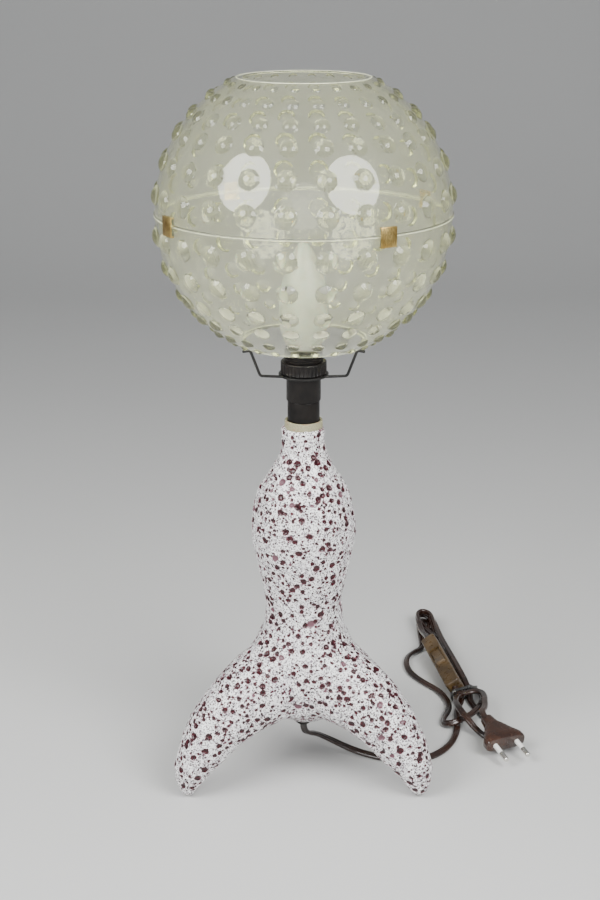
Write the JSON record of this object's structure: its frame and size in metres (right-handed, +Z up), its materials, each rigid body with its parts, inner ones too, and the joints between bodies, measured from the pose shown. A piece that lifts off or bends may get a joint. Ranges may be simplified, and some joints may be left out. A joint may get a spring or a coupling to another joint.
{
  "type": "table lamp",
  "caption": "Table lamp: glazed tripod foot, clear bubbled globe shade on a wire carrier over a candle bulb, flat cord with in-line switch and plug.",
  "frame": {"origin": "on the floor, under the lamp's axis", "axes": "+Z up along the lamp's axis, -Y towards the front, between the two front legs; +X to the right, the side the cord lies on"},
  "size_m": [0.2808, 0.3693, 0.5226],
  "materials": {
    "glaze": "thick glossy white glaze with wine-red pits and dark specks; bare clay at the collar",
    "tube_brass": "plain brass",
    "fixing_steel": "zinc-plated steel",
    "bakelite": "black-brown moulding, satin to glossy",
    "insert_ceramic": "unglazed white",
    "cord_plastic": "dark brown flexible flat twin cord, glossy",
    "core_plastic": "insulated cores",
    "black_wire": "black lacquered steel wire",
    "shade_plastic": "clear moulding with a slight olive-yellow tint, polished",
    "clip_brass": "bright folded spring strip",
    "opal_glass": "frosted opal",
    "cap_metal": "thin pressed cap",
    "cap_insulator": "black glass",
    "stem_glass": "clear",
    "filament_wire": "fine grey wire",
    "tie_wire": "black coated wire, shiny",
    "switch_plastic": "golden brown moulding, satin",
    "plug_plastic": "dark brown moulding, satin",
    "pin_metal": "nickel-plated",
    "sleeve_plastic": "white sleeves"
  },
  "bodies": {
    "base": {"ceramic_foot": "glaze", "threaded_tube": "tube_brass", "foot_washer": "fixing_steel", "foot_nut": "fixing_steel", "neck_washer": "bakelite", "cord_bush": "bakelite", "cord_in_tube": "cord_plastic", "holder_cap": "bakelite", "cap_grub_screw": "fixing_steel", "holder_body": "bakelite", "contact_insert": "insert_ceramic", "terminal_screws": "tube_brass", "cord_cores": "core_plastic", "screw_shell": "tube_brass", "centre_contact": "tube_brass", "cord_lead": "cord_plastic", "cord_near_loop": "cord_plastic", "cord_side_bow": "cord_plastic", "cord_tail": "cord_plastic", "cord_tie": "tie_wire", "cord_hank": "cord_plastic", "switch_base": "switch_plastic", "switch_cover": "switch_plastic", "switch_pivot": "fixing_steel", "switch_screws": "fixing_steel", "switch_contacts": "tube_brass", "plug_body": "plug_plastic", "plug_pins": "pin_metal", "pin_sleeves": "sleeve_plastic"},
    "clamp_ring": {"clamp_ring": "bakelite"},
    "carrier": {"carrier_ring": "black_wire", "carrier_arm_left": "black_wire", "carrier_arm_right": "black_wire", "carrier_arm_back": "black_wire"},
    "shade": {"shade_upper": "shade_plastic", "shade_lower": "shade_plastic"},
    "bulb": {"bulb_glass": "opal_glass", "bulb_cap": "cap_metal", "bulb_insulator": "cap_insulator", "bulb_contact": "fixing_steel", "bulb_stem": "stem_glass", "bulb_filament": "filament_wire"},
    "rocker": {"switch_rocker": "switch_plastic"},
    "clip_front_right": {"shade_clip_front_right": "clip_brass"},
    "clip_back_right": {"shade_clip_back_right": "clip_brass"},
    "clip_back_left": {"shade_clip_back_left": "clip_brass"},
    "clip_front_left": {"shade_clip_front_left": "clip_brass"}
  },
  "joints": [
    {"name": "clamp_ring_turn", "type": "hinge", "parent": "base", "child": "clamp_ring", "pos_m": [0, 0, 0.3195], "axis": [0, 0, 1], "continuous": true},
    {"name": "carrier_turn", "type": "hinge", "parent": "base", "child": "carrier", "pos_m": [0, 0, 0.3142], "axis": [0, 0, 1], "continuous": true},
    {"name": "shade_lift", "type": "slide", "parent": "carrier", "child": "shade", "axis": [0, 0, 1], "range_m": [0, 0.12]},
    {"name": "bulb_out", "type": "slide", "parent": "base", "child": "bulb", "axis": [0, 0, 1], "range_m": [0, 0.035]},
    {"name": "rocker_tip", "type": "hinge", "parent": "base", "child": "rocker", "pos_m": [0.11842, 0.15301, 0.01397], "axis": [0.8306, 0.1295, 0.5416], "range_deg": [0, 18]},
    {"name": "clip_front_right_off", "type": "slide", "parent": "shade", "child": "clip_front_right", "axis": [0.515, -0.8572, 0], "range_m": [0, 0.012]},
    {"name": "clip_back_right_off", "type": "slide", "parent": "shade", "child": "clip_back_right", "axis": [0.8572, 0.515, 0], "range_m": [0, 0.012]},
    {"name": "clip_back_left_off", "type": "slide", "parent": "shade", "child": "clip_back_left", "axis": [-0.515, 0.8572, 0], "range_m": [0, 0.012]},
    {"name": "clip_front_left_off", "type": "slide", "parent": "shade", "child": "clip_front_left", "axis": [-0.8572, -0.515, 0], "range_m": [0, 0.012]}
  ]
}
